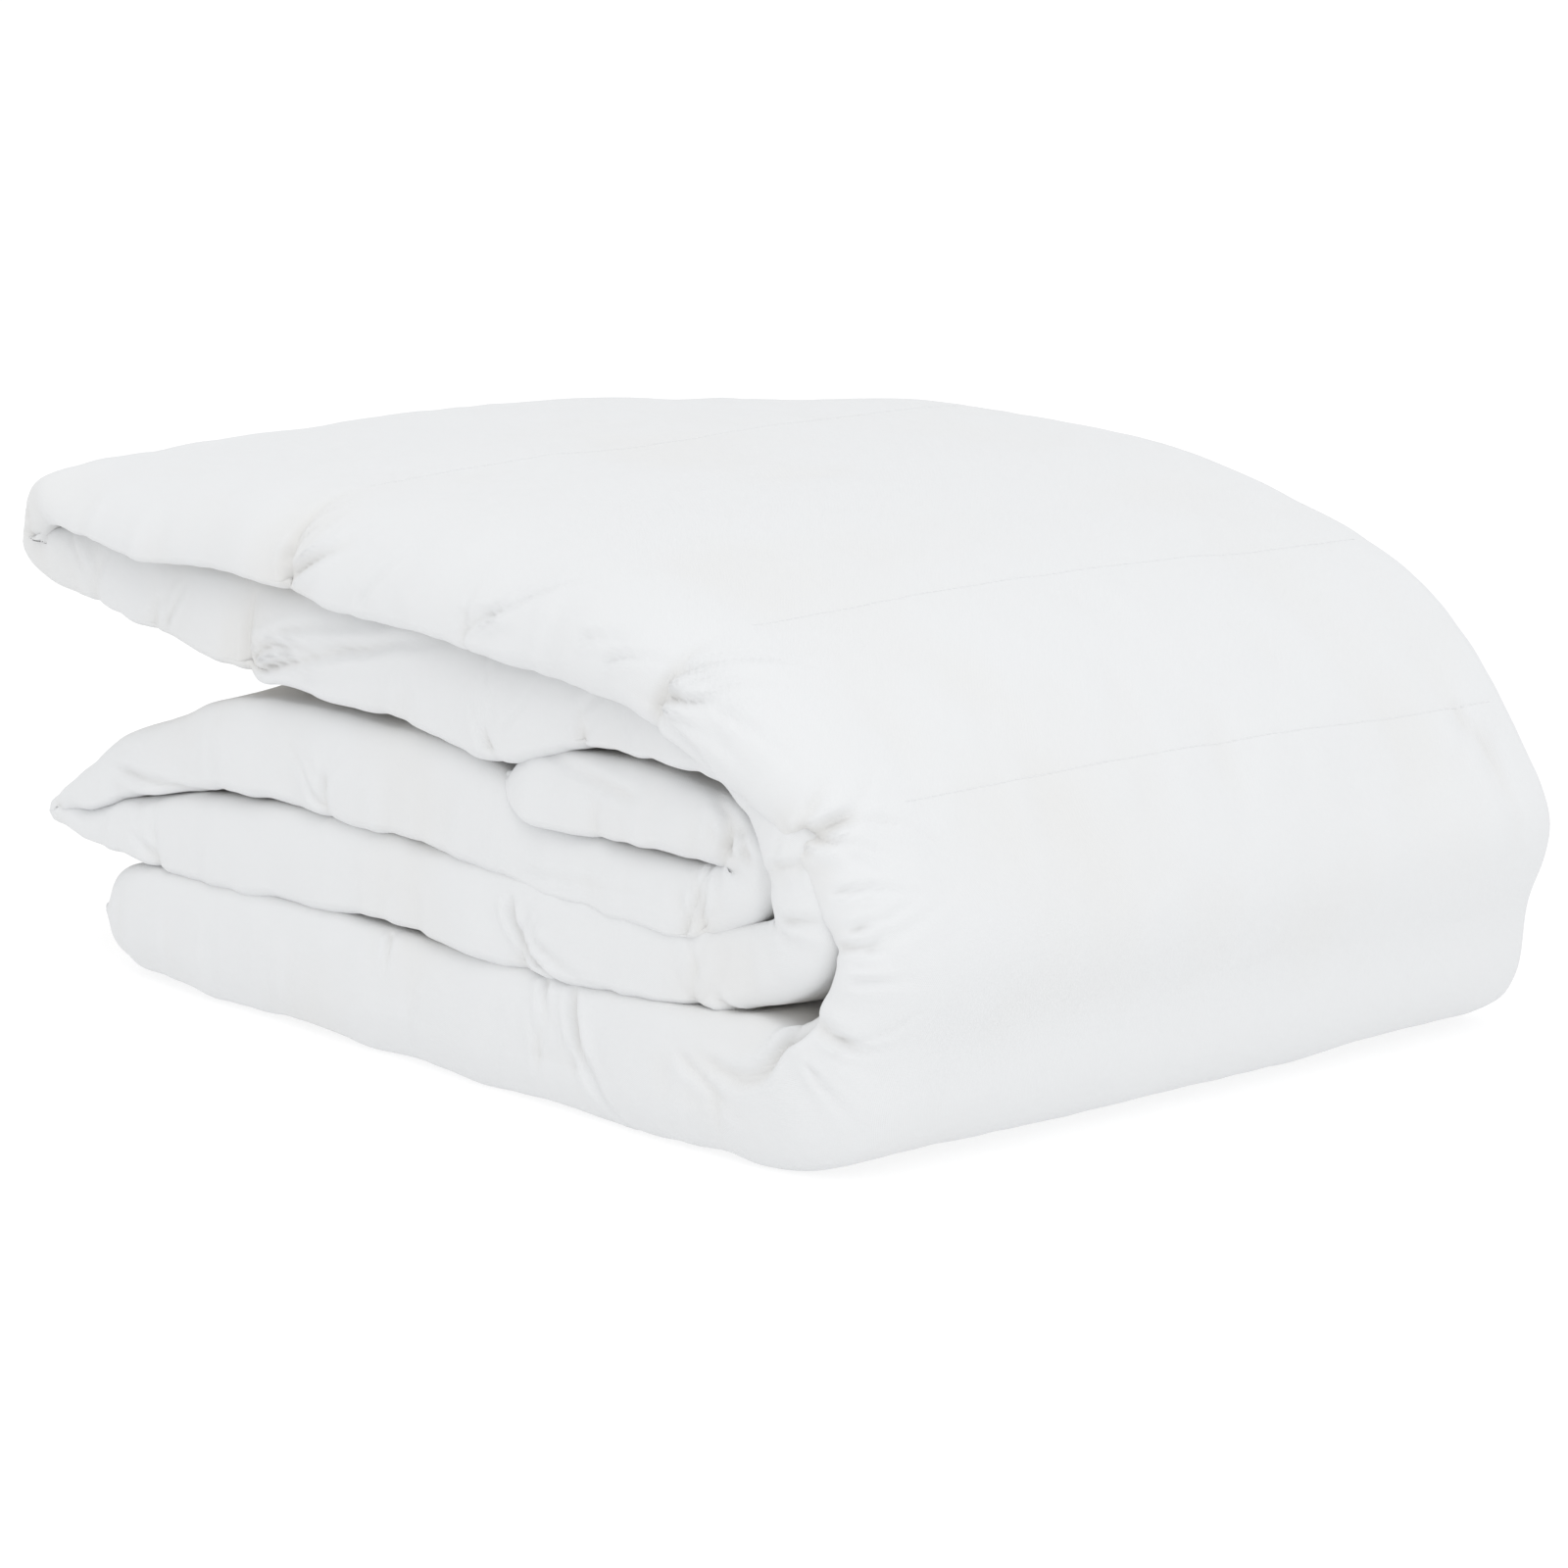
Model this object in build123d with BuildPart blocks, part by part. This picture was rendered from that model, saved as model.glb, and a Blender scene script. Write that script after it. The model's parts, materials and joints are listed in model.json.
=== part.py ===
"""A duvet folded into a pack: in four across its width, then five and a half times along its
length. The folded strip is laid as straight leaves joined by half turns, and each layer of the
duvet (outer panels, filling, baffle walls, piping) follows it. Millimetres, +Z up, origin on the
surface it rests on, under the middle of the pack. X runs along the strip and Y across it."""
import os
from dataclasses import dataclass
from math import cos, degrees, pi, radians, sin

from build123d import *

# The pack.
pack_length = 450.0
pack_depth = 350.0
leaf_thickness = 31.0        # one leaf of the folded strip is four plies of the duvet
leaf_gap = 1.0
bottom_leaf_inset = 45.0     # how far the bottom leaf's free end stands back from the pack's end
core_inset = 20.0            # how far the inner leaves' fold stands back from the pack's end
end_flap_length = 82.0       # straight part of the strip's inner end

# The duvet's own layers.
ply_gap = 0.3
panel_thickness = 0.5
baffle_thickness = 0.6
layer_clearance = 0.05
piping_radius = 2.0
seam_from_fold = 117.0       # lengthwise seams, measured from the front folds

# The half fold opens like a book, by this angle in degrees.
opening_angle = 40.0
sector_clearance = 1.0
join_gap = 0.2

# Rows of filling chambers along each stretch of the strip.
bottom_rows = 2
top_rows = 4
core_rows = 4

# The blank care label.
label_width = 35.0
label_length = 55.0
label_thickness = 0.4
label_clearance = 0.4
label_from_fold = 35.0       # from the half fold's hinge line to the label's near edge

# Worked out from the sizes above.
turn_radius = (leaf_thickness + leaf_gap) / 2
inner_fold_radius = 3 * turn_radius
outer_fold_radius = 5 * turn_radius
fold_reach = outer_fold_radius + leaf_thickness / 2
fold_x = pack_length / 2 - fold_reach
fold_z = fold_reach
left_turn_reach = turn_radius + leaf_thickness / 2
top_turn_x = -pack_length / 2 + left_turn_reach
core_turn_x = top_turn_x + core_inset
bottom_end_x = -pack_length / 2 + bottom_leaf_inset

ply_thickness = (leaf_thickness - 3 * ply_gap) / 4
ply_pitch = ply_thickness + ply_gap
half_ply = ply_thickness / 2
fill_half = half_ply - panel_thickness - layer_clearance
back_y = pack_depth / 2 - label_thickness - label_clearance
front_fold_y = -pack_depth / 2 + leaf_thickness / 2
back_fold_y = back_y - ply_pitch / 2 - half_ply
piping_y = back_y - piping_radius
hem_y = piping_y - piping_radius - layer_clearance
seam_y = -pack_depth / 2 + seam_from_fold


@dataclass
class Leaf:
    """A straight stretch of the folded strip, lying flat."""
    x: float
    z: float
    way: int        # 1 runs towards +X, -1 towards -X
    length: float
    outside: int    # 1 when the duvet's outer ply is on top, -1 when it is underneath

    def lay(self, section, near, far):
        """Add the section's solid between two distances along this stretch."""
        first, last = sorted((self.x + self.way * near, self.x + self.way * far))
        start = first if self.outside > 0 else last
        plane = Plane((start, 0, self.z), x_dir=(0, 1, 0), z_dir=(self.outside, 0, 0))
        extrude(section(plane), amount=last - first)


@dataclass
class Turn:
    """A half turn of the folded strip about a line along Y."""
    x: float
    z: float
    radius: float
    start_angle: float
    way: int        # 1 turns anticlockwise seen from the front, -1 clockwise
    outside: int    # 1 when the duvet's outer ply is away from the centre, -1 when towards it

    @property
    def length(self):
        return pi * self.radius

    def lay(self, section, near, far):
        """Add the section's solid between two distances along this stretch."""
        first, last = sorted(self.start_angle + self.way * degrees(d / self.radius) for d in (near, far))
        ray_x, ray_z = cos(radians(first)), sin(radians(first))
        origin = (self.x + self.radius * ray_x, 0, self.z + self.radius * ray_z)
        normal = (self.outside * ray_z, 0, -self.outside * ray_x)
        plane = Plane(origin, x_dir=(0, 1, 0), z_dir=normal)
        centre_line = Axis((self.x, 0, self.z), (0, -1, 0))
        revolve(section(plane), axis=centre_line, revolution_arc=last - first)


# The strip from its outer end, under everything, to its inner end.
top_length = fold_x - top_turn_x
core_length = fold_x - core_turn_x
strip = [
    Leaf(bottom_end_x, leaf_thickness / 2, 1, fold_x - bottom_end_x, -1),
    Turn(fold_x, fold_z, outer_fold_radius, -90, 1, 1),
    Leaf(fold_x, fold_z + outer_fold_radius, -1, top_length, 1),
    Turn(top_turn_x, fold_z + outer_fold_radius - turn_radius, turn_radius, 90, 1, 1),
    Leaf(top_turn_x, fold_z + inner_fold_radius, 1, top_length, -1),
    Turn(fold_x, fold_z, inner_fold_radius, 90, -1, -1),
    Leaf(fold_x, fold_z - inner_fold_radius, -1, core_length, 1),
    Turn(core_turn_x, fold_z - inner_fold_radius + turn_radius, turn_radius, 270, -1, -1),
    Leaf(core_turn_x, fold_z - turn_radius, 1, core_length, -1),
    Turn(fold_x, fold_z, turn_radius, -90, 1, 1),
    Leaf(fold_x, fold_z + turn_radius, -1, end_flap_length, 1),
]
starts = [sum(stretch.length for stretch in strip[:index]) for index in range(len(strip))]
strip_length = starts[-1] + strip[-1].length
outer_turn, inner_turn = 1, 5


def lay_strip(section, near, far):
    """Add the section's solid along the strip, between two distances from its outer end."""
    for start, stretch in zip(starts, strip):
        low = max(near - start, 0)
        high = min(far - start, stretch.length)
        if high > low:
            stretch.lay(section, low, high)


def fold_sector(index):
    """Where along the strip the part of a half fold that bends as the pack opens starts and ends."""
    middle = starts[index] + strip[index].length / 2
    half = strip[index].radius * radians(opening_angle / 2 + sector_clearance)
    return middle - half, middle + half


def ply_edge(offset):
    """One edge of a layer of the ply, which doubles back three times across the pack's depth."""
    outer = 1.5 * ply_pitch + offset
    back = 0.5 * ply_pitch + offset
    front = 0.5 * ply_pitch - offset
    Line((hem_y, -outer), (front_fold_y, -outer))
    ThreePointArc((front_fold_y, -outer), (front_fold_y - outer, 0), (front_fold_y, outer))
    Line((front_fold_y, outer), (back_fold_y, outer))
    ThreePointArc((back_fold_y, outer), (back_fold_y + back, ply_pitch), (back_fold_y, front))
    Line((back_fold_y, front), (front_fold_y, front))
    ThreePointArc((front_fold_y, front), (front_fold_y - front, 0), (front_fold_y, -front))
    Line((front_fold_y, -front), (hem_y, -front))


def layer_outline(low, high):
    """Closed outline of a layer between two offsets from the ply's middle."""
    ply_edge(low)
    ply_edge(high)
    Line((hem_y, -1.5 * ply_pitch - low), (hem_y, -1.5 * ply_pitch - high))
    Line((hem_y, -0.5 * ply_pitch + low), (hem_y, -0.5 * ply_pitch + high))


def seam_strips(width, mode):
    """The lengthwise seams: one line through all four plies, and one in the back fold."""
    with Locations((seam_y, 0)):
        Rectangle(width, 2 * leaf_thickness, mode=mode)
    with Locations((back_fold_y, ply_pitch)):
        Rectangle(leaf_thickness, width, align=(Align.MIN, Align.CENTER), mode=mode)


def face_section(plane):
    """The panel on the outside of the front fold."""
    with BuildSketch(plane) as section:
        with BuildLine():
            layer_outline(half_ply - panel_thickness, half_ply)
        make_face()
    return section.sketch


def back_section(plane):
    """The panel on the inside of the front fold."""
    with BuildSketch(plane) as section:
        with BuildLine():
            layer_outline(-half_ply, panel_thickness - half_ply)
        make_face()
    return section.sketch


def chamber_section(plane):
    """Six filling chambers side by side across the duvet."""
    with BuildSketch(plane) as section:
        with BuildLine():
            layer_outline(-fill_half, fill_half)
        make_face()
        seam_strips(baffle_thickness + 2 * layer_clearance, Mode.SUBTRACT)
    return section.sketch


def baffle_section(plane):
    """The five lengthwise baffle walls between the chambers."""
    with BuildSketch(plane) as section:
        seam_strips(baffle_thickness, Mode.ADD)
        with BuildLine():
            layer_outline(-fill_half, fill_half)
        make_face(mode=Mode.INTERSECT)
    return section.sketch


def piping_section(plane):
    """The piped hems of the two long sides."""
    with BuildSketch(plane) as section:
        with Locations((piping_y, -1.5 * ply_pitch), (piping_y, -0.5 * ply_pitch)):
            Circle(piping_radius)
    return section.sketch


def end_hem_section(plane):
    """A hem across the strip's end, following the folded ply."""
    with BuildSketch(plane) as section:
        with BuildLine():
            layer_outline(-piping_radius, piping_radius)
        make_face()
    return section.sketch


def save(piece, node):
    """Label a finished piece and write it out."""
    piece.part.label = node
    export_step(piece.part, f"parts/{node}.step")


os.makedirs("parts", exist_ok=True)

outer_low, outer_high = fold_sector(outer_turn)
inner_low, inner_high = fold_sector(inner_turn)
half_gap = join_gap / 2
end_hem = 2 * piping_radius + layer_clearance
stretches = {
    "bottom": (end_hem, outer_low - half_gap, bottom_rows),
    "outer_fold": (outer_low + half_gap, outer_high - half_gap, 1),
    "top": (outer_high + half_gap, inner_low - half_gap, top_rows),
    "inner_fold": (inner_low + half_gap, inner_high - half_gap, 1),
    "core": (inner_high + half_gap, strip_length - end_hem, core_rows),
}

# Panels, lengthwise baffle walls and piped hems run the length of each stretch.
layers = {
    "face_panel": face_section,
    "back_panel": back_section,
    "lengthwise_baffles": baffle_section,
    "piping": piping_section,
}
for stretch_name, (near, far, rows) in stretches.items():
    for layer_name, section in layers.items():
        with BuildPart() as layer:
            lay_strip(section, near, far)
        save(layer, f"{layer_name}_{stretch_name}")

# Filling chambers in rows, with a baffle wall across the strip between one row and the next.
wall_half = baffle_thickness / 2
for stretch_name, (near, far, rows) in stretches.items():
    row_length = (far - near) / rows
    for row in range(rows):
        row_near = near + row * row_length
        row_far = row_near + row_length
        fill_near = row_near + (wall_half + layer_clearance if row > 0 else 0)
        fill_far = row_far - (wall_half + layer_clearance if row < rows - 1 else 0)
        with BuildPart() as fill:
            lay_strip(chamber_section, fill_near, fill_far)
        save(fill, f"fill_{stretch_name}_{row + 1}" if rows > 1 else f"fill_{stretch_name}")
    if rows > 1:
        with BuildPart() as walls:
            for row in range(1, rows):
                seam = near + row * row_length
                lay_strip(chamber_section, seam - wall_half, seam + wall_half)
        save(walls, f"cross_baffles_{stretch_name}")

# Hems across the strip's two ends.
with BuildPart() as outer_end_hem:
    lay_strip(end_hem_section, 0, 2 * piping_radius)
save(outer_end_hem, "end_hem_bottom")
with BuildPart() as inner_end_hem:
    lay_strip(end_hem_section, strip_length - 2 * piping_radius, strip_length)
save(inner_end_hem, "end_hem_core")

# Care label, hanging from the top leaf's hem at the back. It turns about its top edge.
label_top_z = fold_z + outer_fold_radius - 1.5 * ply_pitch
label_x = fold_x - label_from_fold - label_width / 2
label_y = pack_depth / 2 - label_thickness / 2
with BuildPart() as care_label:
    with Locations((label_x, label_y, label_top_z)):
        Box(label_width, label_thickness, label_length, align=(Align.CENTER, Align.CENTER, Align.MAX))
save(care_label, "care_label")

print("strip length", round(strip_length, 1), "duvet width", round(4 * pack_depth, 1))
print("half fold hinge at x", fold_x, "z", fold_z)
print("label hinge at x", label_x, "y", label_y, "z", label_top_z)
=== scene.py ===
"""Looks of a folded duvet: a quilted cotton cover, its seams, piped hems, stitches and blank label.

The cover is one soft strip, four plies thick, that follows the folds of the pack. It is built as a
grid of rings along the strip, and cut into five pieces where the pack opens like a book.
"""
import json
import math
from dataclasses import dataclass

import bmesh
import bpy
import numpy as np
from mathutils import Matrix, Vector


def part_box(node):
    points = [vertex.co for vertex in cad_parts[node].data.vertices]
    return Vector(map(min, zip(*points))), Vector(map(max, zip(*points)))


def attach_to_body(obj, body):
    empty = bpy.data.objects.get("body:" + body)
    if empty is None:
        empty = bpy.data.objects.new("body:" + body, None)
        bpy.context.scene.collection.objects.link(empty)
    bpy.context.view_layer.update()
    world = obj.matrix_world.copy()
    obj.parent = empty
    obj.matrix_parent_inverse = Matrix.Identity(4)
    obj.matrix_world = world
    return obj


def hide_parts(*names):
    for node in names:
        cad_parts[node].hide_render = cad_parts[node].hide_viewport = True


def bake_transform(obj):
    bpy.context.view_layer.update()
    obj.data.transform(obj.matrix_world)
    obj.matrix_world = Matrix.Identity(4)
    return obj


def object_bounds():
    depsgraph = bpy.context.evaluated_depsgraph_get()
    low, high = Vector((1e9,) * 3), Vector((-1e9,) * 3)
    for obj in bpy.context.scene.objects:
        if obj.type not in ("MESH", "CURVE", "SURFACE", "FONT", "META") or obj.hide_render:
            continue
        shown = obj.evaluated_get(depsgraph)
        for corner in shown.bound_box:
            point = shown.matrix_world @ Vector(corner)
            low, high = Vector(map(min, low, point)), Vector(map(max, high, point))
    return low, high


bl_info = {
    "name": "Folded Duvet",
    "version": (1, 0, 0),
    "blender": (4, 5, 0),
    "location": "3D View > Sidebar > Duvet",
    "description": "Builds the cover, hems, stitches and label of a folded duvet around its frame",
    "category": "Object",
}

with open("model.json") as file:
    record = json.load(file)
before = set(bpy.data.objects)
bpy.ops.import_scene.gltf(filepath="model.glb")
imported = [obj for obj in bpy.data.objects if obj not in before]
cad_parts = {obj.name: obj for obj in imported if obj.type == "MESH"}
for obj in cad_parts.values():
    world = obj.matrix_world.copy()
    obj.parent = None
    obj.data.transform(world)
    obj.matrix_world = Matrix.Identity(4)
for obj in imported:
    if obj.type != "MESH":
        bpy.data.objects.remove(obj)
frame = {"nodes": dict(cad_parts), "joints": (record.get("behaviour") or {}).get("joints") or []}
MM = 0.001
cad_low, cad_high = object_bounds()
half_fold = next(joint for joint in frame["joints"] if joint["name"] == "half_fold")
hinge_x = half_fold["pos_m"][0] / MM
front_y = cad_low[1] / MM
back_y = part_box("piping_top")[1].y / MM


# ---------------------------------------------------------------- fixed values, in mm unless said

# How the cover is cut where the pack opens, and what each of its stretches rides on.
LAYERS = ("face_panel", "back_panel", "lengthwise_baffles")
STRETCHES = ("bottom", "outer_fold", "top", "inner_fold", "core")
BODIES = {"bottom": "lower_half", "top": "upper_half", "core": "lower_half"}

# One ring of the strip, point by point: front edge, outer side, back fold, two hems, inner side.
FRONT_POINTS = 47
FLAT_POINTS = 74
BACK_FOLD_POINTS = 11
FULLNESS = 0.8          # under 1, the front edges are rounder than an ellipse
CROWDING = 1.4          # over 1, the flat sides' points crowd towards the front edge
HEM_DEPTHS = (15, 8, 4.5, 3.6, 4.5, 8, 15, 18, 15, 8, 4.5, 3.6, 4.5, 8, 16)     # in from the back
HEM_LEVELS = (4, 10, 17, 25, 33, 40, 46, 50, 54, 60, 67, 75, 83, 91, 98)        # down, in per cent
INNER_SETBACK = 22      # how far in from the back the inner side starts

# The strip along its length.
STATION_STEPS = 40      # steps of the smooth curve from one station to the next
FIRST_TAPER, LAST_TAPER = 34, 20        # lengths over which its two free ends thin out
END_SETBACK = 5         # how far the front edge stands back at a free end
OPEN_STRETCHES = ("bottom", "outer turn", "top", "top turn")    # their outer side is in the open
WRINKLE_SEED = 7

# Hems, thread and label.
HEM_CRESTS = (3, 11)    # where the two hems stand furthest back, counted from the first hem point
HEM_STITCHES = (1, 9)   # where their stitches run, counted the same way
THREAD_LIFT = 0.03
END_ROLL = 1.15         # an end hem is rolled this many times as thick as the piping
PIPING_SEAT = 1.2       # how deep the piping sits in its hem
LABEL_STAND = 0.3       # how far the label stands off its hem


# ---------------------------------------------------------------- sizes and colours

class DuvetSizes(bpy.types.PropertyGroup):
    """Sizes a user would change, in millimetres where no unit is given."""
    ring_step: bpy.props.FloatProperty(
        name="Ring step", description="Distance between rings along the strip, mm", default=1.5)
    dome: bpy.props.FloatProperty(
        name="Dome", description="How much higher the middle is than the edges", default=0.015)
    puff: bpy.props.FloatProperty(
        name="Puff", description="Broad unevenness of the filling, mm", default=1.3)
    rumple: bpy.props.FloatProperty(
        name="Rumple", description="Fine unevenness of the cloth, mm", default=0.22)
    seam_depth: bpy.props.FloatProperty(
        name="Seam depth", description="Depth of the quilting seams on open surfaces, mm",
        default=0.1)
    stitch_pitch: bpy.props.FloatProperty(
        name="Stitch pitch", description="Distance from stitch to stitch",
        default=0.0032, unit="LENGTH")
    stitch_length: bpy.props.FloatProperty(
        name="Stitch length", description="Visible length of one stitch",
        default=0.0023, unit="LENGTH")
    thread_radius: bpy.props.FloatProperty(
        name="Thread radius", description="Radius of the sewing thread",
        default=0.00016, unit="LENGTH")
    piping_radius: bpy.props.FloatProperty(
        name="Piping radius", description="Radius of the piped hems, mm", default=1.9)


class DuvetColours(bpy.types.PropertyGroup):
    """Colours of the cloth, its painted crease shade, the thread, label and stage."""
    cloth: bpy.props.FloatVectorProperty(
        name="Cloth", description="White cotton",
        subtype="COLOR", size=3, default=(0.725, 0.735, 0.745))
    # Painted shade: a darker, warmer colour for the cloth deep in folds and tucked under, where
    # shade falls.
    crease_shade: bpy.props.FloatVectorProperty(
        name="Crease", description="Cloth deep in a fold",
        subtype="COLOR", size=3, default=(0.675, 0.65, 0.605))
    thread: bpy.props.FloatVectorProperty(
        name="Thread", description="Sewing thread",
        subtype="COLOR", size=3, default=(0.725, 0.735, 0.745))
    label: bpy.props.FloatVectorProperty(
        name="Label", description="Blank care label",
        subtype="COLOR", size=3, default=(0.84, 0.84, 0.82))
    floor: bpy.props.FloatVectorProperty(
        name="Floor", description="Studio floor", subtype="COLOR", size=3, default=(0.4, 0.4, 0.4))


# ---------------------------------------------------------------- shader helpers

class Wire:
    """A shader socket that can be used in arithmetic: each operation adds a Math node."""

    def __init__(self, tree, socket):
        self.tree = tree
        self.socket = socket

    def _math(self, operation, a, b):
        return self.tree.node("ShaderNodeMath", {"operation": operation}, {0: a, 1: b})

    def __add__(self, other):
        return self._math("ADD", self, other)

    def __radd__(self, other):
        return self._math("ADD", other, self)

    def __sub__(self, other):
        return self._math("SUBTRACT", self, other)

    def __rsub__(self, other):
        return self._math("SUBTRACT", other, self)

    def __mul__(self, other):
        return self._math("MULTIPLY", self, other)

    def __rmul__(self, other):
        return self._math("MULTIPLY", other, self)


class Shader:
    """A material under construction."""

    def __init__(self, name):
        self.material = bpy.data.materials.new(name)
        self.material.use_nodes = True
        self.nodes = self.material.node_tree.nodes
        self.links = self.material.node_tree.links
        self.nodes.clear()

    def node(self, kind, settings=None, inputs=None, output=0):
        """Add a node: its settings first, then its sockets, and return one output as a Wire."""
        made = self.nodes.new(kind)
        for key, value in (settings or {}).items():
            setattr(made, key, value)
        for key, value in (inputs or {}).items():
            if isinstance(value, Wire):
                self.links.new(value.socket, made.inputs[key])
            else:
                made.inputs[key].default_value = value
        return Wire(self, made.outputs[output]) if made.outputs else made

    def finish(self, surface):
        """Send a shader to the material's surface."""
        self.node("ShaderNodeOutputMaterial", inputs={"Surface": surface})
        return self.material


def rgba(colour):
    return (*colour, 1.0)


def cotton(name, colour, shade_colour, thread_pitch, bump):
    """Plain-weave cotton: crossed threads, slubs, a painted warm shade in creases and tucked folds,
    and a faint sheen.
    """
    shader = Shader(name)
    place = shader.node("ShaderNodeTexCoord", output=3)
    across = shader.node("ShaderNodeAttribute", {"attribute_name": "weave"}, output=1)
    axes = shader.node("ShaderNodeSeparateXYZ", inputs={0: across})
    along = Wire(shader, axes.socket.node.outputs[1])
    turns = 2 * math.pi / thread_pitch
    warp = shader.node("ShaderNodeMath", {"operation": "SINE"}, {0: axes * turns})
    weft = shader.node("ShaderNodeMath", {"operation": "SINE"}, {0: along * turns})
    slub = shader.node("ShaderNodeTexNoise", {}, {"Vector": place, "Scale": 420.0, "Detail": 2.0})
    rumple = shader.node("ShaderNodeTexNoise", {}, {"Vector": place, "Scale": 55.0, "Detail": 4.0})
    weave = warp * weft * 0.35 + slub * 0.5
    fine = shader.node("ShaderNodeBump", {}, {
        "Strength": bump, "Distance": 0.00012, "Height": weave})
    normal = shader.node("ShaderNodeBump", {}, {
        "Strength": 0.35, "Distance": 0.0012, "Height": rumple, "Normal": fine})
    # Painted shade: the cloth is mixed towards the darker, warmer crease colour where it is pushed
    # into creases and where it lies tucked under, with a faint random patchiness.
    hollow = shader.node("ShaderNodeAttribute", {"attribute_name": "hollow"}, output=2)
    patch = shader.node("ShaderNodeTexNoise", {}, {"Vector": place, "Scale": 9.0, "Detail": 3.0})
    depth = hollow * 0.85 + (patch - 0.5) * 0.05
    tint = shader.node("ShaderNodeMix", {"data_type": "RGBA", "clamp_factor": True}, {
        0: depth, 6: rgba(colour), 7: rgba(shade_colour)}, output=2)
    rough = 0.86 + slub * 0.08
    surface = shader.node("ShaderNodeBsdfPrincipled", {}, {
        "Base Color": tint, "Roughness": rough, "Normal": normal,
        "Specular IOR Level": 0.25, "Sheen Weight": 0.12, "Sheen Roughness": 0.5})
    return shader.finish(surface)


# ---------------------------------------------------------------- the strip's shape

@dataclass
class Stretch:
    """Part of the strip: where its middle runs, how thick it is, and how its front edge is rounded.

    Each station is (x, z, half thickness, how far the front edge stands back), in mm. The caps are
    how deep the front rounding is on the outer and inner side, and lip moves its foremost line.
    """
    name: str
    caps: tuple
    lip: float
    stations: tuple


STRIP = (
    Stretch("bottom", (14, 10), 0.25, (
        (-198, 20.5, 19, 9), (-170, 22, 21, 4), (-90, 23.5, 23.5, 2), (0, 24, 24, 2),
        (90, 23.5, 23.5, 3), (150, 25, 24.5, 4), (186, 28, 25.5, 6))),
    Stretch("outer turn", (36, 9), -0.45, (
        (210, 36, 18, 9), (222, 54, 12.5, 13), (229, 76, 10.5, 16), (220, 102, 11.5, 14),
        (202, 128, 14, 8), (175, 150, 16, 4), (140, 165, 17, 1), (100, 173, 18, 0))),
    Stretch("top", (44, 7), -0.74, (
        (50, 177.5, 18, 0), (-20, 179.5, 18, 0), (-90, 180.5, 16.5, 0), (-150, 179, 14.5, 0),
        (-200, 180, 11, 0))),
    Stretch("top turn", (10, 7), -0.1, (
        (-219, 178, 10.5, 0), (-229, 169, 9.5, 2), (-232, 159, 10, 4), (-220, 153, 12.5, 7))),
    Stretch("second", (8, 11), 0.74, (
        (-194, 154, 15, 9), (-150, 150.5, 16, 9), (-100, 145.5, 18.5, 8), (-20, 142, 19.5, 8),
        (50, 138, 19.5, 9), (95, 143, 14, 9), (140, 144, 13, 9))),
    Stretch("inner turn", (8, 10), 0.3, (
        (173, 139, 11, 9), (192, 121, 12, 10), (202, 98, 14, 11), (198, 76, 14, 11))),
    Stretch("fourth", (11, 8), -0.72, (
        (160, 64, 16, 9), (90, 64, 17, 6), (0, 65, 17, 5), (-80, 64, 17, 5), (-135, 60, 15.5, 6),
        (-172, 56, 11, 7), (-202, 54, 6.5, 8))),
    Stretch("core turn", (7, 6), 0.0, (
        (-223, 54.5, 4.5, 8), (-218, 60, 5, 9))),
    Stretch("third", (8, 10), 0.72, (
        (-200, 68.5, 9, 10), (-180, 79, 12, 10), (-150, 89, 13.5, 10), (-105, 99, 18, 8),
        (-30, 101, 19.5, 8), (30, 98, 19.5, 8), (70, 88.5, 13, 10), (120, 86, 13, 10),
        (150, 86, 13, 11))),
    Stretch("flap turn", (9, 8), -0.2, (
        (168, 91, 12, 13), (174, 101, 13, 14), (160, 110.5, 12.5, 12))),
    Stretch("flap", (11, 7), -0.7, (
        (125, 113, 14.5, 9), (90, 112.5, 14.5, 8), (50, 113.5, 12, 9))),
)


def catmull_rom(values, per_span):
    """Smooth rows through every row of values."""
    padded = np.vstack([2 * values[0] - values[1], values, 2 * values[-1] - values[-2]])
    t = np.linspace(0, 1, per_span, endpoint=False)[:, None]
    spans = []
    for a, b, c, d in zip(padded, padded[1:], padded[2:], padded[3:]):
        spans.append(0.5 * (2 * b + (c - a) * t + (2 * a - 5 * b + 4 * c - d) * t ** 2
                            + (3 * b - a - 3 * c + d) * t ** 3))
    return np.vstack([*spans, values[-1:]])


def lattice_noise(points, seed):
    """Smooth noise from -1 to 1 at points measured in lattice cells."""
    size = 64
    table = np.random.default_rng(seed).uniform(-1, 1, (size, size, size))
    cell = np.floor(points).astype(int)
    part = points - cell
    part = part * part * (3 - 2 * part)
    total = np.zeros(points.shape[:-1])
    for corner in np.ndindex(2, 2, 2):
        index = (cell + corner) % size
        weight = np.prod(np.where(corner, part, 1 - part), axis=-1)
        total += weight * table[index[..., 0], index[..., 1], index[..., 2]]
    return total


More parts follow.
